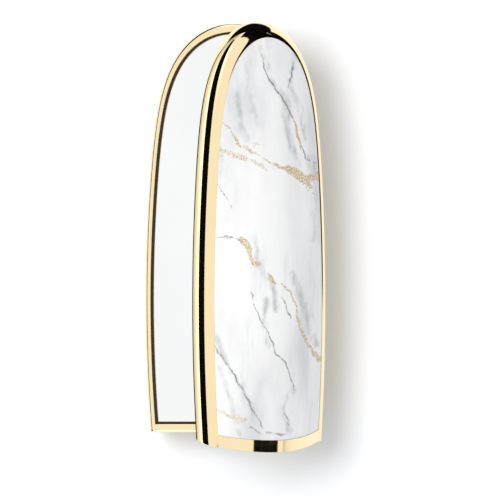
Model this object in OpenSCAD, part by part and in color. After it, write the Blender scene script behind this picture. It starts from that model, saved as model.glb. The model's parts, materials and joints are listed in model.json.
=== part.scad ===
// Mirror case for a lipstick refill. The housing lies on its flat back with a mirror on top.
// A domed lid with a marble-look plate covers the mirror and turns on a hinge along one long edge.
// +Y runs to the rounded tip, +X to the hinge and +Z up out of the housing mirror.
// The origin is on the flat back, on the centre line, in the plane of the flat lower end.

/* [Outline] */
// Length from the flat lower end to the rounded tip
case_len = 80; // [76:0.5:84]
// Largest half width, at the waist
half_w = 17.0; // [16.7:0.1:18]
// Where along the length the case is widest
waist_y = 26; // [22:1:30]
// How straight the long sides are: the bow is y squared over this
side_bow = 650; // [550:10:900]

/* [Housing] */
// Depth from the flat back to the top of the mirror frame
housing_h = 20; // [20:0.1:22]
// Wall of the drawn metal shell
wall = 0.8; // [0.6:0.1:0.9]
// How far the sides are rounded in at the flat back
back_inset = 7.4; // [5:0.1:7.4]
// Height over which the sides are rounded
back_round = 10; // [8:0.5:12]

/* [Refill socket] */
// Bore radius that the refill slides in
bore_r = 7.5; // [7:0.05:7.5]
// Depth of the bore from the lower end
bore_len = 66; // [58:1:66]
// Height of the bore's axis above the back
bore_z = 9.2; // [9.1:0.1:9.3]

/* [Lid] */
// How far the lid is open, where 0 is shut
lid_angle = 43.6; // [0:0.1:135]
// Height of the rounded metal edge
edge_t = 3.4; // [3:0.1:3.8]
// Width of the rounded metal edge along the sides
edge_side = 2.6; // [2.2:0.1:2.7]
// Width of the rounded metal edge at the tip
edge_tip = 3.0; // [2.6:0.1:3.2]
// Width of the metal band below the plate
edge_low = 2.3; // [2:0.1:2.6]
// Crown radius of the domed plate
crown_r = 28.4; // [27:0.1:40]
// Slope of the slanted lower end, as overhang for each unit of height
slant = 0.43; // [0:0.01:0.45]

/* [Hinge] */
// Radius of the hinge knuckles
knuckle_r = 1.0; // [0.9:0.05:1.05]
// Radius of the hinge pin
pin_r = 0.5; // [0.4:0.05:0.5]
// Where the hinge starts along the length
hinge_y0 = 14; // [12:0.5:16]
// Length of one knuckle
knuckle_len = 4.8; // [4.5:0.1:5]

/* [Hidden] */
$fn = 48;

gold = [0.90, 0.76, 0.48];
plastic = [0.16, 0.15, 0.15];
steel = [0.70, 0.71, 0.73];
silver = [0.86, 0.89, 0.92];
film = [0.92, 0.92, 0.88];

// The arch of the tip starts here, and follows a curve of the sixth power
arch_y = case_len / 2;
arch_power = 6;
arch_angles = [2, 6, 12, 20, 30, 40, 50, 60, 70, 80, 90];
low_steps = 7;

// Heights in the housing, from the top down
rim_z = housing_h - 1.9;
carrier_z = rim_z - 0.2;
carrier_h = 0.6;
tape_h = 0.1;
glass_h = 0.5;
seam = 0.05;

// The mirrors' outline, and round it the inner edge of the housing's frame, a channel away
bezel_side = 1.6;
bezel_end = 2.0;
lip_side = 1.05;
lip_end = 1.6;
lip_r = 0.45;
sleeve_r = bore_r + 0.5;
collar_r = sleeve_r + 0.5;
collar_len = 1.6;
end_wall = 1.2;
magnet_r = 3;
magnet_h = 1.5;
end_cap_h = 2.4;

screw_r = 0.6;
screw_len = 6;
post_r = 1.6;
post_xy = [[12.2, 8], [12.2, 56], [-12.2, 8], [-12.2, 56]];
latch_xy = [[-10.6, 22], [-10.6, 42]];
latch_r = 2;
latch_h = 2;
cup_r = 2.6;

hinge_x = half_w + 0.1;
hinge_z = housing_h + 0.1;
lid_z = housing_h + 0.2;
knuckle_gap = 0.3;
washer_h = 0.2;
knuckles = 5;
pitch = knuckle_len + knuckle_gap;
hinge_len = knuckles * pitch - knuckle_gap;
running = 0.05;
leaf_x = half_w - 1.5;
leaf_th = 0.8;
leaf_drop = 5;
leaf_rise = 2.2;
rivet_r = 0.45;
swing_gap = 0.15;

plate_h = 1.2;
glue_h = 0.2;
glue_r = 4;
glue_dot_h = 0.8;
glue_ys = [16, 38, 58];
pocket_t = 0.9;
lid_ledge = 3.3;
keeper_h = 0.6;
crown_steps = [1, 0.85, 0.65, 0.4, 0.15];

// Half width of the outline at y, drawn in by side_in along the sides and tip_in at the tip
function half_width(y, side_in, tip_in) =
    let (rise = max(0, y - arch_y) / (case_len - arch_y - tip_in))
    (half_w - pow(y - waist_y, 2) / side_bow - side_in) * sqrt(max(0, 1 - pow(rise, arch_power)));

// The y of each point up one side, from low_y to the tip
function side_ys(tip_in, low_y) = concat(
    [for (i = [0:low_steps]) low_y + (arch_y - low_y) * i / low_steps],
    [for (a = arch_angles) arch_y + (case_len - arch_y - tip_in) * pow(sin(a), 2 / arch_power)]);

// One closed loop: up the right side, round the tip and down the left side
function mirrored(side) = concat(side,
    [for (i = [len(side) - 2:-1:0]) [-side[i].x, side[i].y, side[i].z]]);

// A loop at constant height
function flat_ring(side_in, tip_in, low_y, z) =
    mirrored([for (y = side_ys(tip_in, low_y)) [half_width(y, side_in, tip_in), y, z]]);

// A loop on the crowned surface, drawn in to the fraction u of the half width
function crown_ring(side_in, tip_in, low_in, t, u) =
    let (w0 = half_width(low_in, side_in, tip_in),
         low_y = low_in - slant * (t + w0 * w0 * (1 - u * u) / (2 * crown_r)))
    mirrored([for (y = side_ys(tip_in, low_y))
        let (w = half_width(max(y, low_in), side_in, tip_in))
        [u * w, y, t + w * w * (1 - u * u) / (2 * crown_r)]]);

// How far the housing wall is drawn in at height z, over a round of height h
function round_in(z, depth, h) = depth * (1 - sqrt(1 - pow(max(0, 1 - z / h), 2)));

// Faces between loop j and loop k of n points
function band(j, k, n) = [for (i = [0:n - 1]) let (m = (i + 1) % n)
    each [[j * n + i, k * n + i, k * n + m], [j * n + i, k * n + m, j * n + m]]];

// A cap of loop j, in strips from side to side; up is true on the upper side
function strip_cap(j, n, up) = [for (i = [0:(n - 3) / 2])
    let (a = j * n + i, b = a + 1, c = j * n + n - 2 - i, d = c + 1)
    each b == c ? [up ? [d, b, a] : [a, b, d]]
        : (up ? [[c, b, a], [d, c, a]] : [[a, b, c], [a, c, d]])];

// A solid through a pile of loops, closed by a cap at each end
module pile(rings) {
    n = len(rings[0]);
    top = len(rings) - 1;
    polyhedron(points = [for (r = rings) each r],
        faces = concat(strip_cap(0, n, false), [for (j = [0:top - 1]) each band(j, j + 1, n)],
            strip_cap(top, n, true)));
}

// A frame whose profile is a closed list of [side inset, end inset, height]
module hoop(profile, low_slant = 0, base_z = 0) {
    rings = [for (p = profile) flat_ring(p[0], p[1], p[1] - low_slant * (p[2] - base_z), p[2])];
    n = len(rings[0]);
    m = len(rings);
    polyhedron(points = [for (r = rings) each r],
        faces = [for (j = [0:m - 1]) each band(j, (j + 1) % m, n)]);
}

// A flat plate of the case's outline
module plate(side_in, end_in, z, h, low_slant = 0) {
    pile([flat_ring(side_in, end_in, end_in - low_slant * z, z),
        flat_ring(side_in, end_in, end_in - low_slant * (z + h), z + h)]);
}

// A crowned plate whose edge runs from bottom_t to top_t
module crowned(side_in, tip_in, low_in, bottom_t, top_t) {
    pile(concat(
        [for (i = [len(crown_steps) - 1:-1:0])
            crown_ring(side_in, tip_in, low_in, bottom_t, crown_steps[i])],
        [for (u = crown_steps) crown_ring(side_in, tip_in, low_in, top_t, u)]));
}

// A cylinder along Y, centred on x and z
module y_rod(x, z, r, y, len) {
    translate([x, y, z]) rotate([-90, 0, 0]) cylinder(r = r, h = len);
}

// A cylinder along X, centred on y and z
module x_rod(y, z, r, x, len) {
    translate([x, y, z]) rotate([0, 90, 0]) cylinder(r = r, h = len);
}

// Puts a child drawn on the shut lid, with its back at z = 0, where the open lid is
module on_lid() {
    translate([hinge_x, 0, hinge_z]) rotate([0, lid_angle, 0])
        translate([-hinge_x, 0, lid_z - hinge_z]) children();
}

module shell_body(inset, end_in, floor_z, top_z) {
    levels = [0, 0.02, 0.08, 0.2, 0.38, 0.62, 1];
    h = back_round - floor_z;
    pile(concat(
        [for (f = levels) let (d = inset + round_in(f * h, back_inset - inset / 2, h))
            flat_ring(d, d, end_in, floor_z + f * h)],
        [flat_ring(inset, inset, end_in, top_z)]));
}

module hinge_notch(z0, z1) {
    translate([leaf_x - seam, hinge_y0 - running, z0])
        cube([5, hinge_len + 2 * running, z1 - z0]);
}

module hinge_cut(r) {
    y_rod(hinge_x, hinge_z, r, hinge_y0 - 0.2, hinge_len + 0.4);
}

module posts(r, z, h) {
    for (p = post_xy) translate([p.x, p.y, z]) cylinder(r = r, h = h);
}

module rear_shell() {
    color(gold) difference() {
        shell_body(0, 0, 0, rim_z);
        difference() {
            shell_body(wall, end_wall, wall, rim_z + 1);
            posts(post_r, 0, carrier_z);
        }
        y_rod(0, bore_z, collar_r, -1, end_wall + 2);
        posts(screw_r, carrier_z - screw_len, screw_len + 2);
        hinge_notch(carrier_z - leaf_drop + 0.5, housing_h);
    }
}

module mirror_carrier() {
    color(plastic) difference() {
        union() {
            plate(wall + seam, end_wall + seam, carrier_z, carrier_h);
            for (p = latch_xy) translate([p.x, p.y, carrier_z - latch_h])
                cylinder(r = cup_r, h = latch_h + carrier_h / 2);
        }
        for (p = latch_xy) translate([p.x, p.y, carrier_z - latch_h - 1])
            cylinder(r = latch_r, h = latch_h + 1);
        posts(screw_r, carrier_z - 1, 4);
        posts(2 * screw_r, carrier_z + carrier_h / 2, 2);
        hinge_notch(carrier_z - 1, housing_h);
    }
}

module mirror_bezel() {
    under = carrier_z + carrier_h + seam;
    color(gold) difference() {
        hoop(concat([[0, 0, rim_z]],
            [for (a = [0:30:180]) let (d = lip_r * (1 - cos(a)))
                [d, d, housing_h - lip_r + lip_r * sin(a)]],
            [[lip_side, lip_end, housing_h - 0.6], [lip_side, lip_end, under],
            [wall, end_wall, under], [wall, end_wall, rim_z]]));
        hinge_notch(rim_z - 1, housing_h + 1);
        hinge_cut(knuckle_r + swing_gap);
    }
}

module fixed_mirror() {
    color(silver) plate(bezel_side + seam, bezel_end + seam, carrier_z + carrier_h + tape_h, glass_h);
}

module fixed_mirror_tape() {
    color(film) plate(bezel_side + 0.6, bezel_end + 0.6, carrier_z + carrier_h, tape_h);
}

module refill_sleeve() {
    color(plastic) difference() {
        y_rod(0, bore_z, sleeve_r, 0, bore_len);
        y_rod(0, bore_z, bore_r, -1, bore_len + 2);
    }
}

module mouth_collar() {
    color(gold) difference() {
        y_rod(0, bore_z, collar_r, 0, collar_len);
        y_rod(0, bore_z, sleeve_r, -1, collar_len + 2);
    }
}

module sleeve_end_cap() {
    color(plastic) difference() {
        y_rod(0, bore_z, sleeve_r, bore_len, end_cap_h);
        y_rod(0, bore_z, magnet_r, bore_len - 1, magnet_h + 1);
    }
}

module refill_magnet() {
    color(steel) y_rod(0, bore_z, magnet_r, bore_len, magnet_h);
}

module carrier_screws() {
    color(steel) {
        posts(screw_r, carrier_z - screw_len, screw_len + carrier_h / 2);
        posts(2 * screw_r - 0.02, carrier_z + carrier_h / 2, carrier_h / 2 - 0.1);
    }
}

module latch_magnets() {
    color(steel) for (p = latch_xy) translate([p.x, p.y, carrier_z - latch_h])
        cylinder(r = latch_r, h = latch_h);
}

module rear_hinge_leaf() {
    low = carrier_z - leaf_drop + 0.5 + running;
    color(gold) difference() {
        union() {
            translate([leaf_x, hinge_y0, low])
                cube([leaf_th + 0.4, hinge_len, hinge_z - low - knuckle_r - swing_gap]);
            for (i = [0:2:knuckles - 1]) {
                y_rod(hinge_x, hinge_z, knuckle_r, hinge_y0 + i * pitch, knuckle_len);
                translate([leaf_x, hinge_y0 + i * pitch, hinge_z - 1.6])
                    cube([leaf_th + 0.4, knuckle_len, 1.5]);
            }
        }
        y_rod(hinge_x, hinge_z, pin_r, hinge_y0 - 1, hinge_len + 2);
        for (y = rear_rivet_y) x_rod(y, low + 1.5, rivet_r, leaf_x - 1, 4);
    }
}

rear_rivet_y = [for (i = [0:2:knuckles - 1]) hinge_y0 + i * pitch + knuckle_len / 2];
lid_rivet_y = [for (i = [1:2:knuckles - 1]) hinge_y0 + i * pitch + knuckle_len / 2];

module rear_hinge_rivets() {
    low = carrier_z - leaf_drop + 0.5 + running;
    color(steel) for (y = rear_rivet_y) {
        x_rod(y, low + 1.5, rivet_r, leaf_x, leaf_th + 0.4);
        x_rod(y, low + 1.5, 2 * rivet_r, leaf_x - 0.5, 0.5);
    }
}

module hinge_pin() {
    color(steel) y_rod(hinge_x, hinge_z, pin_r, hinge_y0, hinge_len);
}

module hinge_washers() {
    color(plastic) for (i = [1:knuckles - 1]) difference() {
        y_rod(hinge_x, hinge_z, knuckle_r - 0.1,
            hinge_y0 + i * pitch - (knuckle_gap + washer_h) / 2, washer_h);
        y_rod(hinge_x, hinge_z, pin_r, hinge_y0, hinge_len);
    }
}

// The lid's whole outer form: a quarter-round edge, then the crown
module lid_body() {
    pile(concat(
        [for (a = [0:15:90]) let (f = 1 - cos(a), t = edge_t * sin(a))
            flat_ring(edge_side * f, edge_tip * f, -slant * t, t)],
        [for (u = crown_steps) if (u < 1) crown_ring(edge_side, edge_tip, 0, edge_t, u)]));
}

// The hinge's room in the lid, in the shut lid's own heights
module lid_hinge_room() {
    translate([leaf_x - seam, hinge_y0 - running, -1])
        cube([leaf_th + 2 * seam, hinge_len + 2 * running, leaf_rise + seam + 1]);
    y_rod(hinge_x, hinge_z - lid_z, knuckle_r + swing_gap, hinge_y0 - 0.2, hinge_len + 0.4);
}

module lid_frame() {
    color(gold) on_lid() difference() {
        lid_body();
        crowned(edge_side, edge_tip, edge_low, edge_t - plate_h - seam, edge_t + 3);
        plate(wall, wall, -1, pocket_t + 1);
        plate(lid_ledge, edge_tip + 1, pocket_t - 0.5, 3 * edge_t);
        lid_hinge_room();
        for (y = lid_rivet_y) x_rod(y, leaf_rise - 0.7, rivet_r, leaf_x - 1, 1.5);
    }
}

module marble_plate() {
    color("white") on_lid()
        crowned(edge_side + seam, edge_tip + seam, edge_low + seam, edge_t - plate_h, edge_t);
}

// Top of a glue dot, under the plate at its lowest point over the dot
function glue_top(y) = edge_t - plate_h - seam + (min([for (d = [-glue_r, glue_r])
    pow(half_width(y + d, edge_side, edge_tip), 2)]) - glue_r * glue_r) / (2 * crown_r);

module glue_dots(extra) {
    for (y = glue_ys) translate([0, y, glue_top(y) - glue_dot_h])
        cylinder(r = glue_r, h = glue_dot_h + extra);
}

module plate_adhesive() {
    color(film) on_lid() glue_dots(0);
}

module lid_core() {
    side = lid_ledge + seam;
    tip = edge_tip + 1 + seam;
    low = edge_tip + 1.6;
    low_crown = low + 1.9;
    color(plastic) on_lid() difference() {
        pile(concat([flat_ring(side, tip, low, pocket_t)],
            [for (u = crown_steps) crown_ring(side, tip, low_crown, edge_t - plate_h - glue_h, u)]));
        for (p = latch_xy) translate([p.x, p.y, pocket_t - 1])
            cylinder(r = latch_r, h = keeper_h + 1);
        glue_dots(2);
    }
}

module lid_mirror_bezel() {
    color(gold) on_lid() difference() {
        hoop([[wall + seam, wall + seam, 0.15], [wall + seam, wall + seam, pocket_t - seam],
            [bezel_side, bezel_end, pocket_t - seam], [bezel_side, bezel_end, 0.15],
            [bezel_side - 0.2, bezel_end - 0.2, 0], [wall + 0.25, wall + 0.25, 0]]);
        lid_hinge_room();
    }
}

module lid_mirror() {
    color(silver) on_lid()
        plate(bezel_side + seam, bezel_end + seam, pocket_t - tape_h - glass_h, glass_h);
}

module lid_mirror_tape() {
    color(film) on_lid() plate(bezel_side + 0.6, bezel_end + 0.6, pocket_t - tape_h, tape_h);
}

module latch_keepers() {
    color(steel) on_lid() for (p = latch_xy) translate([p.x, p.y, pocket_t])
        cylinder(r = latch_r, h = keeper_h);
}

module lid_hinge_leaf() {
    axis_t = hinge_z - lid_z;
    color(gold) on_lid() difference() {
        union() {
            translate([leaf_x, hinge_y0, knuckle_r + swing_gap + axis_t])
                cube([leaf_th, hinge_len, leaf_rise - knuckle_r - swing_gap - axis_t]);
            for (i = [1:2:knuckles - 1]) {
                y_rod(hinge_x, axis_t, knuckle_r, hinge_y0 + i * pitch, knuckle_len);
                translate([leaf_x, hinge_y0 + i * pitch, axis_t])
                    cube([leaf_th, knuckle_len, 1.5]);
            }
        }
        y_rod(hinge_x, axis_t, pin_r + running, hinge_y0 - 1, hinge_len + 2);
        for (y = lid_rivet_y) x_rod(y, leaf_rise - 0.7, rivet_r, leaf_x - 1, 4);
    }
}

module lid_hinge_rivets() {
    color(steel) on_lid() for (y = lid_rivet_y)
        x_rod(y, leaf_rise - 0.7, rivet_r, leaf_x - 1, leaf_th + 1);
}

rear_shell();
mirror_carrier();
mirror_bezel();
fixed_mirror();
fixed_mirror_tape();
refill_sleeve();
mouth_collar();
sleeve_end_cap();
refill_magnet();
carrier_screws();
latch_magnets();
rear_hinge_leaf();
rear_hinge_rivets();
hinge_pin();
hinge_washers();
lid_frame();
marble_plate();
plate_adhesive();
lid_core();
lid_mirror_bezel();
lid_mirror();
lid_mirror_tape();
latch_keepers();
lid_hinge_leaf();
lid_hinge_rivets();
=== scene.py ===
"""Lipstick case: fine meshes, materials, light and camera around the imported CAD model."""

import json
import math

import bmesh
import bpy
import numpy as np
from mathutils import Matrix, Vector


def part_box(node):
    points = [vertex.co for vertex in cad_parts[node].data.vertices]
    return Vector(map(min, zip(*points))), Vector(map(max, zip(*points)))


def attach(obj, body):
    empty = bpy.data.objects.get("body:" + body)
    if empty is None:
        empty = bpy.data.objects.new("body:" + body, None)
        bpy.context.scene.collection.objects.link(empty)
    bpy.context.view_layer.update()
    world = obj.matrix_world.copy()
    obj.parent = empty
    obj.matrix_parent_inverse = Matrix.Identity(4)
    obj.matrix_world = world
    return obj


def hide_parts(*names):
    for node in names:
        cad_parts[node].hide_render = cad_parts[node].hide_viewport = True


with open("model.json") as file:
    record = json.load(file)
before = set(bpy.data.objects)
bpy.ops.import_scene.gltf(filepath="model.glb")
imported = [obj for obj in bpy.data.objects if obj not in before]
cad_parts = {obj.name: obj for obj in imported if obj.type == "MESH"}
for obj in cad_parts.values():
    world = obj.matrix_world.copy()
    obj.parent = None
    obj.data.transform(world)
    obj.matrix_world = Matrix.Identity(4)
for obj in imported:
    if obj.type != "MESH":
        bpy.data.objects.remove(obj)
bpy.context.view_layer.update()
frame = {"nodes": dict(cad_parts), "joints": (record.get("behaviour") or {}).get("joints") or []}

# Sizes in mm, in the row frame. The lid's are in the shut lid's own frame, t above its back.
MM = 0.001
CASE_LEN = 80.0
HALF_W = 17.0
WAIST_Y = 26.0
SIDE_BOW = 650.0
ARCH_Y = 40.0
ARCH_POWER = 6
HOUSING_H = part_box("mirror_bezel")[1].z / MM
RIM_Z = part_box("rear_shell")[1].z / MM
WALL = 0.8
WALL_END = 1.2
BACK_INSET = 7.4
BACK_ROUND = 10.0
BEZEL_SIDE = 1.6
BEZEL_END = 2.0
LIP_SIDE = 1.05
LIP_END = 1.6
LIP_OUT_R = 0.42
LIP_IN_R = 0.1
EDGE_T = 3.4
EDGE_SIDE = 2.6
EDGE_TIP = 3.0
EDGE_LOW = 2.3
CROWN_R = 28.4
SLANT = 0.43
PLATE_H = 1.1
GROOVE = 0.04
LEDGE = 3.3
LEDGE_LOW = LEDGE + 0.6
LEDGE_TIP = LEDGE + 0.8
POCKET_T = 0.9
GLASS_H = 0.5
GLASS_BEVEL = 0.12
GLASS_GAP = 0.03
LID_GLASS_T = POCKET_T - 0.6
LID_BEZEL_R = 0.25
LID_BEZEL_LOW = 0.4
LID_GAP = 0.2
LEAF_X = HALF_W - 1.55
LEAF_SLOT_W = 0.9
LEAF_SLOT_T = 2.25
KNUCKLE_HOLE_R = 1.15
KNUCKLE_HOLE_GAP = 0.1
SLOT_GAP = 0.05
CHANNEL_GAP = 0.05
PLATE_RIM = 0.06
SLANT_FADE = 20
# A box cutter reaches out to here, beyond the case
BEYOND_X = 20
BEYOND_Z = 25

JOINT = frame["joints"][0]
HINGE = Vector(JOINT["pos_m"])
LID_ANGLE = -math.radians(JOINT["range_deg"][0])
LID_BACK = HOUSING_H + LID_GAP
LID_MATRIX = (
    Matrix.Translation(HINGE)
    @ Matrix.Rotation(LID_ANGLE, 4, "Y")
    @ Matrix.Translation((-HINGE.x, -HINGE.y, LID_BACK * MM - HINGE.z))
)
HINGE_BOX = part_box("hinge_pin")
HINGE_Y = (HINGE_BOX[0].y / MM - SLOT_GAP, HINGE_BOX[1].y / MM + SLOT_GAP)

SIDE_STEPS = 80
ARCH_STEPS = 110
LOW_STEPS = 40
PLATE_STEPS = 110
PLATE_COLS = 46
CORNER_STEPS = 12


# ---------------------------------------------------------------- outline


def half_width(y, side_in=0.0, tip_in=0.0):
    """Half width of the outline at y, drawn in along the sides and at the tip."""
    rise = max(0.0, y - ARCH_Y) / (CASE_LEN - ARCH_Y - tip_in)
    side = HALF_W - (y - WAIST_Y) ** 2 / SIDE_BOW - side_in
    return side * math.sqrt(max(0.0, 1 - rise**ARCH_POWER))


def side_ys(tip_in, low_y):
    """The y of each point up one side, close together where the arch turns."""
    ys = [low_y + (ARCH_Y - low_y) * i / SIDE_STEPS for i in range(SIDE_STEPS)]
    for i in range(ARCH_STEPS + 1):
        turn = math.sin(math.pi / 2 * (i / ARCH_STEPS) ** 2)
        ys.append(ARCH_Y + (CASE_LEN - ARCH_Y - tip_in) * turn ** (2 / ARCH_POWER))
    return ys


def closed_loop(side, low):
    """Up the right side, round the tip, down the left side and back along the lower end."""
    left = [(-x, y, z) for x, y, z in reversed(side[:-1])]
    return side + left + low


def flat_loop(side_in, tip_in, low_y, z):
    """The outline at constant height."""
    side = [(half_width(y, side_in, tip_in), y, z) for y in side_ys(tip_in, low_y)]
    w = side[0][0]
    count = 2 * CORNER_STEPS + LOW_STEPS
    low = [(w * (2 * i / count - 1), low_y, z) for i in range(1, count)]
    return closed_loop(side, low)


def edge_loop(turn, low_in, drop=0.0, inset=0.0):
    """A loop on the lid's rounded edge, at the angle turn, whose lower end follows the crown."""
    f = 1 - math.cos(turn)
    side_in, tip_in = EDGE_SIDE * f + inset, EDGE_TIP * f + inset
    t = EDGE_T * math.sin(turn)
    side = []
    for y in side_ys(tip_in, low_in - SLANT * t):
        side.append((half_width(y, side_in, tip_in), y, t - drop))
    low = []
    for i in range(1, CORNER_STEPS + 1):
        a = turn + (math.pi / 2 - turn) * i / CORNER_STEPS
        ta = EDGE_T * math.sin(a)
        y = low_in - SLANT * ta
        low.append((-half_width(y, EDGE_SIDE * (1 - math.cos(a)) + inset), y, ta - drop))
    for i in range(1, LOW_STEPS):
        u = 2 * i / LOW_STEPS - 1
        w = half_width(low_in, EDGE_SIDE + inset)
        ta = EDGE_T + w * w * (1 - u * u) / (2 * CROWN_R)
        y = low_in - SLANT * ta
        low.append((u * half_width(y, EDGE_SIDE + inset), y, ta - drop))
    low += [(-x, y, t) for x, y, t in reversed(low[:CORNER_STEPS])]
    return closed_loop(side, low)


# ---------------------------------------------------------------- meshes


def make_object(name, points, faces, matrix=None, sharp=35):
    """A mesh object from points in mm, with doubles merged and normals outward."""
    mesh = bpy.data.meshes.new(name)
    mesh.from_pydata([tuple(c * MM for c in p) for p in points], [], faces)
    bm = bmesh.new()
    bm.from_mesh(mesh)
    bmesh.ops.remove_doubles(bm, verts=bm.verts, dist=1e-6)
    bmesh.ops.recalc_face_normals(bm, faces=bm.faces)
    bm.to_mesh(mesh)
    bm.free()
    obj = bpy.data.objects.new(name, mesh)
    bpy.context.scene.collection.objects.link(obj)
    keep_place(mesh)
    if matrix is not None:
        mesh.transform(matrix)
    smooth(obj, sharp)
    return obj


def keep_place(mesh):
    """Stores each point's place before any turn, for the materials."""
    co = np.zeros(len(mesh.vertices) * 3, np.float32)
    mesh.vertices.foreach_get("co", co)
    attr = mesh.attributes.new("place", "FLOAT_VECTOR", "POINT")
    attr.data.foreach_set("vector", co)


def smooth(obj, sharp):
    """Smooth shading, with edges over that many degrees kept sharp."""
    mesh = obj.data
    mesh.polygons.foreach_set("use_smooth", [True] * len(mesh.polygons))
    bm = bmesh.new()
    bm.from_mesh(mesh)
    for edge in bm.edges:
        edge.smooth = not (edge.is_manifold and edge.calc_face_angle(0) > math.radians(sharp))
    bm.to_mesh(mesh)
    bm.free()


def skin(name, loops, matrix=None, ring=False, sharp=35):
    """A solid through a pile of loops: a closed ring, or capped at both ends."""
    n = len(loops[0])
    count = len(loops)
    points = [p for loop in loops for p in loop]
    faces = []
    for j in range(count if ring else count - 1):
        k = (j + 1) % count
        for i in range(n):
            m = (i + 1) % n
            faces.append((j * n + i, j * n + m, k * n + m, k * n + i))
    if not ring:
        faces.append(tuple(range(n - 1, -1, -1)))
        faces.append(tuple(range((count - 1) * n, count * n)))
    return make_object(name, points, faces, matrix, sharp)


def cut(obj, cutter, sharp=35):
    """Takes the cutter's volume out of the object."""
    mod = obj.modifiers.new("cut", "BOOLEAN")
    mod.operation = "DIFFERENCE"
    mod.solver = "EXACT"
    mod.object = cutter
    apply_modifiers(obj)
    bpy.data.objects.remove(cutter)
    smooth(obj, sharp)


def apply_modifiers(obj):
    """Replaces the object's mesh with its evaluated one."""
    bpy.context.view_layer.update()
    graph = bpy.context.evaluated_depsgraph_get()
    mesh = bpy.data.meshes.new_from_object(obj.evaluated_get(graph))
    obj.modifiers.clear()
    obj.data = mesh


def round_edges(obj, width, angle=50):
    """A small round along the sharp edges, so that they catch the light."""
    mod = obj.modifiers.new("round", "BEVEL")
    mod.width = width * MM
    mod.segments = 3
    mod.limit_method = "ANGLE"
    mod.angle_limit = math.radians(angle)
    mod.harden_normals = False
    apply_modifiers(obj)
    smooth(obj, 40)


def box_cutter(low, high, matrix=None):
    """A box between two corners in mm."""
    xs, ys, zs = zip(low, high)
    points = [(x, y, z) for x in xs for y in ys for z in zs]
    faces = [(0, 1, 3, 2), (4, 6, 7, 5), (0, 4, 5, 1), (2, 3, 7, 6), (0, 2, 6, 4), (1, 5, 7, 3)]
    return make_object("cutter", points, faces, matrix)


def rod_cutter(x, z, r, y0, y1, matrix=None, sides=96):
    """A cylinder along Y in mm."""
    turn = [2 * math.pi * i / sides for i in range(sides)]
    points = [(x + r * math.cos(a), y, z + r * math.sin(a)) for y in (y0, y1) for a in turn]
    faces = [(i, (i + 1) % sides, sides + (i + 1) % sides, sides + i) for i in range(sides)]
    faces += [tuple(range(sides)), tuple(range(2 * sides - 1, sides - 1, -1))]
    return make_object("cutter", points, faces, matrix)


def arc(start, end, steps):
    """Angles from start to end in degrees, as radians."""
    return [math.radians(start + (end - start) * i / steps) for i in range(steps + 1)]


# ---------------------------------------------------------------- materials


def new_material(name):
    mat = bpy.data.materials.new(name)
    mat.use_nodes = True
    nodes = mat.node_tree.nodes
    return mat, nodes, mat.node_tree.links, nodes["Principled BSDF"]


def texture(nodes, links, kind, scale, detail=3.0, rough=0.5, stretch=(1, 1, 1), turn=0.0,
            own_place=False):
    """A noise texture, stretched and turned about Z, in object or the piece's own coordinates."""
    coord = nodes.new("ShaderNodeTexCoord")
    place = coord.outputs["Object"]
    if own_place:
        place = nodes.new("ShaderNodeAttribute")
        place.attribute_name = "place"
        place = place.outputs["Vector"]
    mapping = nodes.new("ShaderNodeMapping")
    mapping.inputs["Rotation"].default_value = (0, 0, math.radians(turn))
    mapping.inputs["Scale"].default_value = stretch
    links.new(place, mapping.inputs["Vector"])
    tex = nodes.new(kind)
    tex.inputs["Scale"].default_value = scale
    if kind == "ShaderNodeTexNoise":
        tex.inputs["Detail"].default_value = detail
        tex.inputs["Roughness"].default_value = rough
    links.new(mapping.outputs["Vector"], tex.inputs["Vector"])
    return tex


def ramp(nodes, links, source, stops):
    """A colour ramp from (position, colour) stops."""
    node = nodes.new("ShaderNodeValToRGB")
    while len(node.color_ramp.elements) < len(stops):
        node.color_ramp.elements.new(0.5)
    for element, (pos, colour) in zip(node.color_ramp.elements, stops):
        element.position = pos
        element.color = (*colour, 1)
    links.new(source, node.inputs[0])
    return node.outputs[0]


def grey(value):
    return (value, value, value)


def metal(name, colour, roughness, wear, bump=0.02, grain=900):
    """Plated metal: slow drift in colour, faint hairlines and a trace of unevenness."""
    mat, nodes, links, bsdf = new_material(name)
    bsdf.inputs["Metallic"].default_value = 1.0
    drift = texture(nodes, links, "ShaderNodeTexNoise", 60)
    dark = tuple(c * (1 - wear) for c in colour)
    links.new(ramp(nodes, links, drift.outputs[0], [(0.3, dark), (0.7, colour)]),
              bsdf.inputs["Base Color"])
    hair = texture(nodes, links, "ShaderNodeTexNoise", grain, 2, 0.5, (1, 0.05, 1))
    links.new(ramp(nodes, links, hair.outputs[0],
                   [(0.3, grey(roughness * 0.8)), (0.7, grey(roughness * 1.25))]),
              bsdf.inputs["Roughness"])
    add_bump(nodes, links, bsdf, hair.outputs[0], bump, 0.002)
    return mat


def add_bump(nodes, links, bsdf, height, strength, distance_mm):
    node = nodes.new("ShaderNodeBump")
    node.inputs["Strength"].default_value = strength
    node.inputs["Distance"].default_value = distance_mm * MM
    links.new(height, node.inputs["Height"])
    links.new(node.outputs[0], bsdf.inputs["Normal"])


def plastic(name, colour, roughness, grain):
    """Moulded plastic with a fine spark-eroded grain."""
    mat, nodes, links, bsdf = new_material(name)
    tex = texture(nodes, links, "ShaderNodeTexNoise", grain, 4)
    light = tuple(min(1, c * 1.25) for c in colour)
    links.new(ramp(nodes, links, tex.outputs[0], [(0.35, colour), (0.65, light)]),
              bsdf.inputs["Base Color"])
    bsdf.inputs["Roughness"].default_value = roughness
    add_bump(nodes, links, bsdf, tex.outputs[0], 0.3, 0.02)
    return mat


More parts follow.
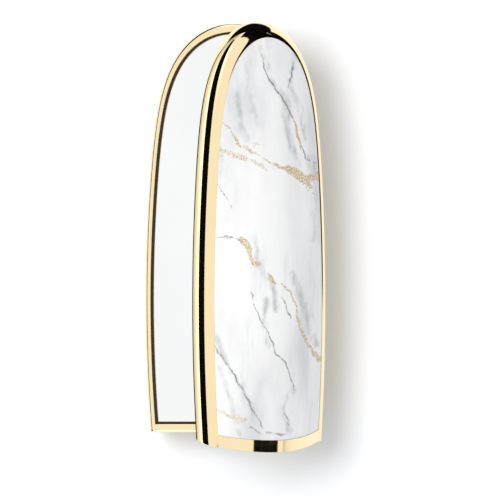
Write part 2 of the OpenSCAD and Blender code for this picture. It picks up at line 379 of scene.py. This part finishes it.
def mirror_glass():
    """Silvered glass: a clear bright reflection with a trace of haze."""
    mat, nodes, links, bsdf = new_material("mirror_glass")
    bsdf.inputs["Metallic"].default_value = 1.0
    haze = texture(nodes, links, "ShaderNodeTexNoise", 35, 4)
    links.new(ramp(nodes, links, haze.outputs[0],
                   [(0.3, (0.90, 0.905, 0.91)), (0.7, (0.94, 0.945, 0.95))]),
              bsdf.inputs["Base Color"])
    links.new(ramp(nodes, links, haze.outputs[0], [(0.4, grey(0.01)), (0.8, grey(0.03))]),
              bsdf.inputs["Roughness"])
    return mat


def field_mask(nodes, links, name, edge, soft, rag, scale):
    """1 inside a vein and 0 outside, from its distance field, with a ragged rim."""
    attr = nodes.new("ShaderNodeAttribute")
    attr.attribute_name = name
    tex = texture(nodes, links, "ShaderNodeTexNoise", scale, 5, 0.65, own_place=True)
    ragged = nodes.new("ShaderNodeMath")
    ragged.operation = "MULTIPLY_ADD"
    links.new(tex.outputs[0], ragged.inputs[0])
    ragged.inputs[1].default_value = rag
    links.new(attr.outputs["Fac"], ragged.inputs[2])
    span = nodes.new("ShaderNodeMapRange")
    span.interpolation_type = "SMOOTHSTEP"
    links.new(ragged.outputs[0], span.inputs["Value"])
    span.inputs["From Min"].default_value = edge + rag / 2
    span.inputs["From Max"].default_value = edge + rag / 2 + soft
    span.inputs["To Min"].default_value = 1.0
    span.inputs["To Max"].default_value = 0.0
    return span.outputs[0]


def multiply(nodes, links, first, second):
    node = nodes.new("ShaderNodeMath")
    node.operation = "MULTIPLY"
    links.new(first, node.inputs[0])
    links.new(second, node.inputs[1])
    return node.outputs[0]


def mix(nodes, links, factor, first, second, strength=1.0):
    """Blends the second colour over the first by a factor."""
    scaled = nodes.new("ShaderNodeMath")
    scaled.operation = "MULTIPLY"
    links.new(factor, scaled.inputs[0])
    scaled.inputs[1].default_value = strength
    node = nodes.new("ShaderNodeMix")
    node.data_type = "RGBA"
    links.new(scaled.outputs[0], node.inputs[0])
    links.new(first, node.inputs[6])
    if isinstance(second, tuple):
        node.inputs[7].default_value = (*second, 1)
    else:
        links.new(second, node.inputs[7])
    return node.outputs[2]


def marble():
    """White marble under a clear coat: soft clouds, fine dark veins and granular gold ones."""
    mat, nodes, links, bsdf = new_material("marble")
    clouds = texture(nodes, links, "ShaderNodeTexNoise", 75, 5, 0.55, (1, 0.4, 1), -24, True)
    colour = ramp(nodes, links, clouds.outputs[0],
                  [(0.36, (0.62, 0.63, 0.64)), (0.5, (0.77, 0.77, 0.775)),
                   (0.60, (0.83, 0.83, 0.83))])
    wisps = texture(nodes, links, "ShaderNodeTexNoise", 190, 6, 0.7, (1, 0.22, 1), -24, True)
    wisp = ramp(nodes, links, wisps.outputs[0], [(0.56, grey(0)), (0.72, grey(1))])
    colour = mix(nodes, links, wisp, colour, (0.50, 0.51, 0.52), 0.40)
    soft = field_mask(nodes, links, "soft_vein", -0.3, 1.3, 1.2, 420)
    patchy = texture(nodes, links, "ShaderNodeTexNoise", 330, 6, 0.75, (1, 0.5, 1), -24, True)
    patches = ramp(nodes, links, patchy.outputs[0], [(0.40, grey(0)), (0.62, grey(1))])
    soft = multiply(nodes, links, soft, patches)
    colour = mix(nodes, links, soft, colour, (0.34, 0.35, 0.36), 0.68)
    dark = field_mask(nodes, links, "dark_vein", -0.05, 0.22, 0.45, 1500)
    colour = mix(nodes, links, dark, colour, (0.19, 0.19, 0.20), 0.80)
    grains = texture(nodes, links, "ShaderNodeTexNoise", 3800, 2, 0.7, own_place=True)
    gold = ramp(nodes, links, grains.outputs[0],
                [(0.38, (0.30, 0.20, 0.10)), (0.5, (0.58, 0.44, 0.25)), (0.62, (0.86, 0.76, 0.58))])
    vein = field_mask(nodes, links, "gold_vein", -0.05, 0.25, 0.6, 1100)
    colour = mix(nodes, links, vein, colour, gold, 0.85)
    blur = field_mask(nodes, links, "pale_gold_vein", -0.05, 0.4, 1.7, 1300)
    specks = ramp(nodes, links, patchy.outputs[0], [(0.30, grey(0.25)), (0.52, grey(1))])
    blur = multiply(nodes, links, blur, specks)
    colour = mix(nodes, links, blur, colour, gold, 0.62)
    links.new(colour, bsdf.inputs["Base Color"])
    links.new(ramp(nodes, links, clouds.outputs[0], [(0.3, grey(0.20)), (0.7, grey(0.28))]),
              bsdf.inputs["Roughness"])
    bsdf.inputs["Specular IOR Level"].default_value = 0.25
    add_bump(nodes, links, bsdf, grains.outputs[0], 0.05, 0.01)
    return mat


# ---------------------------------------------------------------- veins on the plate

# Each vein is a list of (x, y, half width) in mm, from one end to the other, on a level plane
# over the open lid. It reaches the crowned plate straight down, VEIN_SHIFT further to the left.
VEIN_SHIFT = 0.9
DARK_VEINS = [
    [(-1.5, 73.6, 0.05), (-0.4, 70.6, 0.1), (1.7, 67.6, 0.14), (5.3, 64.3, 0.16), (7.2, 61.8, 0.1)],
    [(7.2, 71.6, 0.06), (7.0, 69.6, 0.16), (6.2, 67.4, 0.1)],
    [(8.9, 58, 0.1), (10.8, 53.7, 0.1), (13.8, 52.3, 0.06)],
    [(8.6, 49.2, 0.05), (10.9, 47.8, 0.1), (13.0, 46.9, 0.05)],
    [(-13.5, 49.3, 0.05), (-11.2, 47, 0.08), (-8.6, 43.9, 0.1)],
    [(-13, 39, 0.05), (-8.6, 38.7, 0.1), (-6.9, 38, 0.05)],
    [(-4, 28, 0.05), (-1.2, 22.3, 0.08), (1.8, 18.5, 0.09), (3.3, 15.5, 0.12), (5.6, 14.4, 0.1),
     (7.7, 9, 0.08)],
    [(4.1, 27.2, 0.05), (6.7, 22.9, 0.08)],
    [(-14.2, 18.8, 0.06), (-10, 14.4, 0.1), (-5.8, 9.5, 0.1), (-3.9, 6, 0.12), (-0.5, 1.9, 0.08)],
    [(-3.9, 2.5, 0.05), (-0.9, 0.8, 0.1), (1.8, 1.2, 0.1), (5.6, 0.7, 0.05)],
    [(4.8, 5.2, 0.05), (6.2, 2.2, 0.08)],
]
SOFT_VEINS = [
    [(-1.7, 75, 0.2), (1.7, 68, 0.3), (5.5, 64.5, 0.6), (5.5, 60, 0.7), (6.6, 56, 0.5),
     (8.9, 52.6, 0.2)],
    [(8.0, 74, 0.5), (6.5, 69, 0.4), (8.9, 64, 0.2), (11, 58, 0.3)],
    [(-7.6, 66, 0.3), (-6.7, 60, 0.5), (-5, 57, 0.3)],
    [(-4.5, 72, 0.1), (-4.6, 67, 0.2), (-2, 61, 0.2)],
    [(-13.5, 60, 0.3), (-12, 56, 0.4), (-11.5, 50, 0.1)],
    [(12, 54, 0.5), (13.8, 50, 0.6), (13, 44, 0.3), (12.5, 38, 0.4)],
    [(-2.8, 38, 0.3), (-2, 34, 0.3), (1.8, 30, 0.4), (3, 25, 0.2)],
    [(7.1, 31, 0.6), (9.5, 27, 0.9), (12, 22.6, 0.9), (13.5, 18, 0.6)],
    [(0.5, 26, 0.3), (-0.5, 20, 0.2), (1.8, 17, 0.3)],
    [(-13.9, 21, 0.3), (-10, 15, 0.4), (-5.8, 9.5, 0.3), (-3, 4, 0.3)],
    [(-8.4, 16, 0.2), (-6.2, 10.3, 0.3), (-5, 6, 0.2)],
    [(-12, 14, 0.2), (-9, 7, 0.2), (-7, 1.5, 0.2)],
    [(7.7, 9, 0.2), (4.5, 5, 0.3), (6.5, 1, 0.3)],
]
GOLD_VEINS = [
    [(5.2, 52, 0.3), (7.0, 51.2, 0.8), (9.0, 50.3, 1.1), (11.0, 49.6, 1.0), (12.6, 48, 0.1)],
    [(10, 50.4, 0.5), (12.4, 50.3, 0.4), (14.8, 50.0, 0.6)],
    [(-12.6, 61.6, 0.1), (-9.9, 59.6, 0.16), (-7.6, 56.6, 0.14), (-4.2, 55.0, 0.1),
     (0.4, 53.6, 0.12), (3.6, 52.5, 0.2), (6, 51.6, 0.5)],
    [(7.4, 62.1, 0.1), (8.2, 60, 0.25), (8.9, 58, 0.35), (9.2, 56, 0.2)],
    [(-6.9, 38, 0.3), (-5.2, 37.6, 0.5), (-4.3, 36.4, 0.6), (-3.8, 34.3, 0.4), (-2.8, 33.3, 0.4),
     (-0.9, 33.1, 0.12)],
    [(0.8, 31.6, 0.1), (1.9, 30.7, 0.45), (2.6, 30, 0.1)],
    [(4.1, 29.9, 0.08), (6.4, 28, 0.2), (7.9, 24.8, 0.14), (9, 21, 0.14), (10.5, 18, 0.25),
     (12.4, 16.5, 0.3), (14.6, 14.9, 0.5)],
]
PALE_GOLD_VEINS = [
    [(-11.4, 55.7, 0.1), (-9.6, 55.0, 0.35), (-7, 54.2, 0.4), (-3.8, 53.2, 0.1), (-1.2, 52, 0.3),
     (0.2, 51.6, 0.05)],
    [(-3.2, 56, 0.05), (-1.5, 56.5, 0.12)],
    [(-13.8, 5.7, 0.05), (-9.6, 4.8, 0.15), (-7.7, 4.1, 0.35), (-5, 3.6, 0.25)],
    [(8.2, 24, 0.1), (9.4, 20.5, 0.3), (11, 17.8, 0.2)],
]
# The veins wander by crossed waves of (length in mm, direction in degrees, reach in mm)
WAVES = [(11, 20, 0.22), (7.3, 75, 0.16), (3.1, 140, 0.12), (2.3, 50, 0.10), (1.1, 100, 0.05),
         (0.83, 10, 0.04)]


def vein_field(points, veins):
    """For each point, the least (distance less half width) to any stretch of the veins, in mm."""
    field = np.full(len(points), 9.0)
    for vein in veins:
        for (x0, y0, w0), (x1, y1, w1) in zip(vein, vein[1:]):
            start = np.array([x0, y0])
            step = np.array([x1 - x0, y1 - y0])
            along = ((points - start) @ step / (step @ step)).clip(0, 1)
            away = np.linalg.norm(points - start - along[:, None] * step, axis=1)
            field = np.minimum(field, away - (w0 + (w1 - w0) * along))
    return field


def add_veins(plate):
    """Stores the four distance fields on the plate's points, with the veins made to wander."""
    co = np.array([p.vector for p in plate.data.attributes["place"].data]) / MM
    flat = co[:, :2].copy()
    flat[:, 0] += (co[:, 2] - EDGE_T) * math.tan(LID_ANGLE) + VEIN_SHIFT
    for length, direction, reach in WAVES:
        way = np.array([math.cos(math.radians(direction)), math.sin(math.radians(direction))])
        phase = co[:, :2] @ way * (2 * math.pi / length)
        flat += reach * np.stack([np.sin(phase + length), np.cos(1.3 * phase)], axis=1)
    fields = {"dark_vein": DARK_VEINS, "soft_vein": SOFT_VEINS,
              "gold_vein": GOLD_VEINS, "pale_gold_vein": PALE_GOLD_VEINS}
    for name, veins in fields.items():
        attr = plate.data.attributes.new(name, "FLOAT", "POINT")
        attr.data.foreach_set("value", vein_field(flat, veins).astype(np.float32))


# ---------------------------------------------------------------- housing


def round_in(z, depth, height):
    return depth * (1 - math.sqrt(max(0.0, 1 - max(0.0, 1 - z / height) ** 2)))


def shell_loops(inset, end_in, floor_z, top_z, steps=26):
    loops = []
    height = BACK_ROUND - floor_z
    for i in range(steps + 1):
        z = height * (1 - math.cos(math.pi / 2 * i / steps))
        d = inset + round_in(z, BACK_INSET - inset / 2, height)
        loops.append(flat_loop(d, d, end_in, floor_z + z))
    loops.append(flat_loop(inset, inset, end_in, top_z))
    return loops


def housing_shell():
    loops = shell_loops(0, 0, 0, RIM_Z) + shell_loops(WALL, WALL_END, WALL, RIM_Z)[::-1]
    shell = skin("case_shell", loops, sharp=30)
    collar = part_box("mouth_collar")
    radius = (collar[1].x - collar[0].x) / 2 / MM
    axis_z = (collar[1].z + collar[0].z) / 2 / MM
    cut(shell, rod_cutter(0, axis_z, radius, -1, 2), 30)
    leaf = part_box("rear_hinge_leaf")
    slot_z = leaf[0].z / MM - SLOT_GAP
    cut(shell, box_cutter((LEAF_X, HINGE_Y[0], slot_z), (BEYOND_X, HINGE_Y[1], BEYOND_Z)), 30)
    round_edges(shell, 0.15, 60)
    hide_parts("rear_shell")
    return shell


def housing_bezel():
    """A gold frame with a flat-topped lip, and a channel down to the carrier round the glass."""
    top = HOUSING_H
    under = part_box("mirror_carrier")[1].z / MM + CHANNEL_GAP
    profile = [(0, 0, RIM_Z)]
    for turn, start, radius in ((0, 0, LIP_OUT_R), (90, LIP_SIDE - LIP_IN_R, LIP_IN_R)):
        for a in arc(turn, turn + 90, 12):
            out = start - radius * math.cos(a) + (radius if turn == 0 else 0)
            profile.append((out, out * LIP_END / LIP_SIDE, top - radius + radius * math.sin(a)))
    profile += [(LIP_SIDE, LIP_END, under), (WALL, WALL_END, under), (WALL, WALL_END, RIM_Z)]
    bezel = skin("case_mirror_frame", [flat_loop(s, e, e, z) for s, e, z in profile], ring=True)
    cut(bezel, box_cutter((LEAF_X, HINGE_Y[0], RIM_Z - 1), (BEYOND_X, HINGE_Y[1], BEYOND_Z)))
    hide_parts("mirror_bezel")
    return bezel


def glass(name, z, matrix=None):
    """A mirror with a ground edge."""
    s, e, b = BEZEL_SIDE + GLASS_GAP, BEZEL_END + GLASS_GAP, GLASS_BEVEL
    loops = [flat_loop(s, e, e, z), flat_loop(s, e, e, z + GLASS_H - b),
             flat_loop(s + b, e + b, e + b, z + GLASS_H)]
    if matrix is not None:
        loops = [flat_loop(s + b, e + b, e + b, z), flat_loop(s, e, e, z + b),
                 flat_loop(s, e, e, z + GLASS_H)]
    piece = skin(name, loops, matrix, sharp=20)
    return piece


# ---------------------------------------------------------------- lid


def lid_frame():
    quarter = math.pi / 2
    loops = [flat_loop(0, 0, 0, 0)]
    for i, a in enumerate(arc(0, 90, 28)):
        low = EDGE_LOW * a / quarter
        loops.append(edge_loop(a, low))
    loops.append(edge_loop(quarter, EDGE_LOW, drop=PLATE_H))
    loops.append(edge_loop(quarter, LEDGE_LOW, drop=PLATE_H, inset=LEDGE - EDGE_SIDE))
    loops.append(flat_loop(LEDGE, LEDGE_TIP, LEDGE_LOW, POCKET_T))
    loops.append(flat_loop(WALL, WALL, WALL, POCKET_T))
    loops.append(flat_loop(WALL, WALL, WALL, 0))
    obj = skin("lid_edge_frame", loops, LID_MATRIX, ring=True)
    t = (HINGE.z / MM) - LID_BACK
    slot = (LEAF_X + LEAF_SLOT_W, HINGE_Y[1], LEAF_SLOT_T)
    cut(obj, box_cutter((LEAF_X, HINGE_Y[0], -1), slot, LID_MATRIX))
    hole = (HINGE_Y[0] - KNUCKLE_HOLE_GAP, HINGE_Y[1] + KNUCKLE_HOLE_GAP)
    cut(obj, rod_cutter(HINGE.x / MM, t, KNUCKLE_HOLE_R, *hole, LID_MATRIX))
    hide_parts("lid_frame")
    return obj


def lid_plate():
    """The crowned plate, as a fine grid from side to side with a softened rim."""
    side_in, tip_in = EDGE_SIDE + GROOVE, EDGE_TIP + GROOVE
    low_in = EDGE_LOW + GROOVE
    across = [1, 0.994, 0.985] + [0.97 * (1 - i / PLATE_COLS) for i in range(PLATE_COLS)]
    us = across + [0] + [-u for u in reversed(across)]
    ys = [low_in + (ARCH_Y - low_in) * i / PLATE_STEPS for i in range(PLATE_STEPS)]
    ys += [y for y in side_ys(tip_in, 0)[SIDE_STEPS:-1] if half_width(y, side_in, tip_in) > 0.4]
    points = []
    for layer in (0, 1):
        for row, y0 in enumerate(ys):
            w = half_width(y0, side_in, tip_in)
            for u in us:
                rim = PLATE_RIM if abs(u) == 1 or row in (0, len(ys) - 1) else 0
                t = EDGE_T + w * w * (1 - u * u) / (2 * CROWN_R)
                y = y0 - SLANT * t * max(0.0, 1 - (y0 - low_in) / SLANT_FADE)
                points.append((u * half_width(y, side_in, tip_in), y,
                               t - (PLATE_H if layer else rim)))
    cols, rows = len(us), len(ys)
    half = cols * rows
    faces = []
    for r in range(rows - 1):
        for c in range(cols - 1):
            quad = (r * cols + c, r * cols + c + 1, (r + 1) * cols + c + 1, (r + 1) * cols + c)
            faces.append(quad)
            faces.append(tuple(half + q for q in reversed(quad)))
    border = [c for c in range(cols)] + [r * cols + cols - 1 for r in range(1, rows)]
    border += [(rows - 1) * cols + c for c in range(cols - 2, -1, -1)]
    border += [r * cols for r in range(rows - 2, 0, -1)]
    for a, b in zip(border, border[1:] + border[:1]):
        faces.append((a, b, half + b, half + a))
    plate = make_object("lid_marble_plate", points, faces, LID_MATRIX, 30)
    add_veins(plate)
    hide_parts("marble_plate")
    return plate


def lid_bezel():
    """A gold frame round the lid's mirror, with both edges of its face rounded."""
    r = LID_BEZEL_R
    top = POCKET_T - GLASS_GAP
    outer = WALL + GLASS_GAP
    profile = [(outer, outer, r), (outer, outer, top), (BEZEL_SIDE, BEZEL_END, top),
               (BEZEL_SIDE, BEZEL_END, r)]
    for a in arc(0, 90, 6):
        profile.append((BEZEL_SIDE - r * math.sin(a), BEZEL_END - LID_BEZEL_LOW * math.sin(a),
                        r * math.cos(a)))
    for a in arc(90, 0, 6):
        profile.append((outer + r * math.sin(a), outer + r * math.sin(a), r * math.cos(a)))
    profile = profile[:4] + profile[5:]
    loops = [flat_loop(s, e, e, t) for s, e, t in profile]
    bezel = skin("lid_mirror_frame", loops, LID_MATRIX, ring=True)
    cut(bezel, box_cutter((LEAF_X - 0.02, HINGE_Y[0], -1), (BEYOND_X, HINGE_Y[1], 3), LID_MATRIX))
    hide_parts("lid_mirror_bezel")
    return bezel


# ---------------------------------------------------------------- build

champagne = (0.97, 0.80, 0.49)
gold_lid = metal("gold_lid", champagne, 0.05, 0.03)
gold_bezel = metal("gold_bezel", (0.96, 0.80, 0.50), 0.06, 0.03)
gold_shell = metal("gold_shell", (0.95, 0.78, 0.46), 0.09, 0.05, 0.05, 700)
gold_hinge = metal("gold_hinge", (0.90, 0.72, 0.42), 0.16, 0.08, 0.1, 1200)
nickel = metal("nickel", (0.66, 0.66, 0.67), 0.22, 0.10, 0.15, 1500)
magnet_plate = metal("magnet_nickel", (0.60, 0.61, 0.63), 0.30, 0.12, 0.2, 1800)
black_plastic = plastic("moulded_black", (0.030, 0.018, 0.010), 0.42, 2500)
acetal = plastic("acetal_washer", (0.70, 0.69, 0.65), 0.35, 3000)
glue = plastic("adhesive_film", (0.70, 0.70, 0.64), 0.6, 1800)
silver = mirror_glass()

pieces = [
    (housing_shell(), "housing", gold_shell),
    (housing_bezel(), "housing", gold_bezel),
    (glass("case_mirror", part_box("fixed_mirror")[0].z / MM), "housing", silver),
    (lid_frame(), "lid", gold_lid),
    (lid_plate(), "lid", marble()),
    (lid_bezel(), "lid", gold_bezel),
    (glass("lid_mirror_glass", LID_GLASS_T, LID_MATRIX), "lid", silver),
]
for obj, body, material in pieces:
    obj.data.materials.clear()
    obj.data.materials.append(material)
    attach(obj, body)
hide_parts("fixed_mirror")
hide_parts("lid_mirror")

CAD_MATERIALS = {
    "mirror_carrier": black_plastic,
    "refill_sleeve": black_plastic,
    "sleeve_end_cap": black_plastic,
    "lid_core": black_plastic,
    "hinge_washers": acetal,
    "fixed_mirror_tape": glue,
    "plate_adhesive": glue,
    "lid_mirror_tape": glue,
    "mouth_collar": gold_bezel,
    "rear_hinge_leaf": gold_hinge,
    "lid_hinge_leaf": gold_hinge,
    "hinge_pin": nickel,
    "rear_hinge_rivets": nickel,
    "lid_hinge_rivets": nickel,
    "carrier_screws": nickel,
    "refill_magnet": magnet_plate,
    "latch_magnets": magnet_plate,
    "latch_keepers": magnet_plate,
}
for name, material in CAD_MATERIALS.items():
    mesh = frame["nodes"][name].data
    mesh.materials.clear()
    mesh.materials.append(material)

# ---------------------------------------------------------------- stage, light and camera

STUDIO_STRENGTH = 0.70
MIRRORED_STRENGTH = 1.9
MIRRORED_GREY = 0.53
KEY_ANGLE = math.radians(14)
KEY_SIZE = 0.30
KEY_POWER = 5.2
KEY_REACH = 0.9
LENS = 338
CAMERA_AIM = (3.5, 35.75, 20)
CAMERA_TILT = math.radians(1.1)
CAMERA_REACH = 0.919


def plane(name, centre, normal, size, material, spin=0.0):
    """A card facing along normal, which is never along Y, spun about it in degrees.

    size is in mm: first along the cross product of Y and normal, then across that.
    """
    mesh = bpy.data.meshes.new(name)
    w, h = size[0] / 2 * MM, size[1] / 2 * MM
    mesh.from_pydata([(-w, -h, 0), (w, -h, 0), (w, h, 0), (-w, h, 0)], [], [(0, 1, 2, 3)])
    obj = bpy.data.objects.new(name, mesh)
    bpy.context.scene.collection.objects.link(obj)
    out = Vector(normal).normalized()
    across = Vector((0, 1, 0)).cross(out).normalized()
    turn = Matrix((across, out.cross(across), out)).transposed().to_4x4()
    spun = Matrix.Rotation(math.radians(spin), 4, "Z")
    obj.matrix_world = Matrix.Translation(Vector(centre) * MM) @ turn @ spun
    mesh.materials.append(material)
    return obj


def black_card(name, centre, normal, size, spin=0.0):
    """A black card that shows only in reflections."""
    mat, nodes, links, bsdf = new_material(name)
    bsdf.inputs["Base Color"].default_value = (0.003, 0.003, 0.003, 1)
    bsdf.inputs["Roughness"].default_value = 1.0
    bsdf.inputs["Specular IOR Level"].default_value = 0.0
    obj = plane(name, centre, normal, size, mat, spin)
    obj.visible_camera = False
    obj.visible_diffuse = False
    obj.visible_shadow = False
    obj.visible_transmission = False


def side_card(name, low, high, y0, y1, side, reach=400.0):
    """A long card beside the case, between two angles from the vertical, in degrees."""
    middle = math.radians((low + high) / 2)
    width = 2 * reach * math.tan(math.radians((high - low) / 2))
    away = Vector((side * math.sin(middle), 0, math.cos(middle)))
    black_card(name, away * reach + Vector((0, (y0 + y1) / 2, 30)), -away, (width, y1 - y0))


floor_mat, nodes, links, bsdf = new_material("floor")
paper = texture(nodes, links, "ShaderNodeTexNoise", 20)
links.new(ramp(nodes, links, paper.outputs[0],
               [(0.3, (0.87, 0.89, 0.92)), (0.7, (0.88, 0.90, 0.93))]),
          bsdf.inputs["Base Color"])
bsdf.inputs["Roughness"].default_value = 0.9
bsdf.inputs["Specular IOR Level"].default_value = 0.1
plane("floor", (0, 40, 0), (0, 0, 1), (6000, 6000), floor_mat)

side_card("card_left", 14.5, 51.5, -900, 2500, -1)
side_card("card_right", 60, 84, -900, -40, 1)
black_card("card_horizon", (766, 703, 165), (-0.77, -0.64, 0), (330, 1450))
black_card("card_tip", (370, 837, 1), (0, 0, 1), (1300, 1000), 26)
black_card("card_far_right", (800, 190, 1), (0, 0, 1), (1360, 340))
black_card("card_far_left", (-1000, 40, 30), (1, 0, 0), (120, 3000))


def build_world(nodes, links):
    """An even white studio, which mirrors bright high on the left and dim at its horizon."""
    coord = nodes.new("ShaderNodeTexCoord")
    parts = nodes.new("ShaderNodeSeparateXYZ")
    links.new(coord.outputs["Generated"], parts.inputs[0])
    left = ramp(nodes, links, parts.outputs["Z"],
                [(0.0, grey(0.14)), (0.1, grey(0.42)), (0.3, grey(0.52)), (0.6, grey(0.95)),
                 (0.97, grey(MIRRORED_GREY))])
    side = ramp(nodes, links, parts.outputs["X"], [(0.0, grey(0)), (0.12, grey(1))])
    mirrored = nodes.new("ShaderNodeBackground")
    links.new(mix(nodes, links, side, left, grey(MIRRORED_GREY)), mirrored.inputs["Color"])
    mirrored.inputs["Strength"].default_value = MIRRORED_STRENGTH
    even = nodes["Background"]
    even.inputs["Color"].default_value = (1, 1, 1, 1)
    even.inputs["Strength"].default_value = STUDIO_STRENGTH
    path = nodes.new("ShaderNodeLightPath")
    pick = nodes.new("ShaderNodeMath")
    pick.operation = "MAXIMUM"
    links.new(path.outputs["Is Glossy Ray"], pick.inputs[0])
    links.new(path.outputs["Is Camera Ray"], pick.inputs[1])
    both = nodes.new("ShaderNodeMixShader")
    links.new(pick.outputs[0], both.inputs[0])
    links.new(even.outputs[0], both.inputs[1])
    links.new(mirrored.outputs[0], both.inputs[2])
    links.new(both.outputs[0], nodes["World Output"].inputs["Surface"])


scene = bpy.context.scene
world = bpy.data.worlds.new("studio")
scene.world = world
world.use_nodes = True
build_world(world.node_tree.nodes, world.node_tree.links)
scene.view_settings.view_transform = "Standard"

key_data = bpy.data.lights.new("key", "AREA")
key_data.shape = "RECTANGLE"
key_data.size = KEY_SIZE
key_data.size_y = KEY_SIZE
key_data.energy = KEY_POWER
key = bpy.data.objects.new("key", key_data)
scene.collection.objects.link(key)
key_way = Vector((-math.sin(KEY_ANGLE), 0.12, math.cos(KEY_ANGLE)))
key.matrix_world = (Matrix.Translation(key_way * KEY_REACH + Vector((0, 0.04, 0)))
                    @ key_way.to_track_quat("Z", "Y").to_matrix().to_4x4())
key.visible_glossy = False

camera_data = bpy.data.cameras.new("camera")
camera_data.lens = LENS
camera_data.sensor_width = 36
camera_data.clip_end = 10
camera = bpy.data.objects.new("camera", camera_data)
scene.collection.objects.link(camera)
aim = Vector(CAMERA_AIM) * MM
camera_way = Vector((0, math.sin(CAMERA_TILT), math.cos(CAMERA_TILT)))
camera.location = aim + camera_way * CAMERA_REACH
camera.rotation_euler = (-CAMERA_TILT, 0, 0)
scene.camera = camera
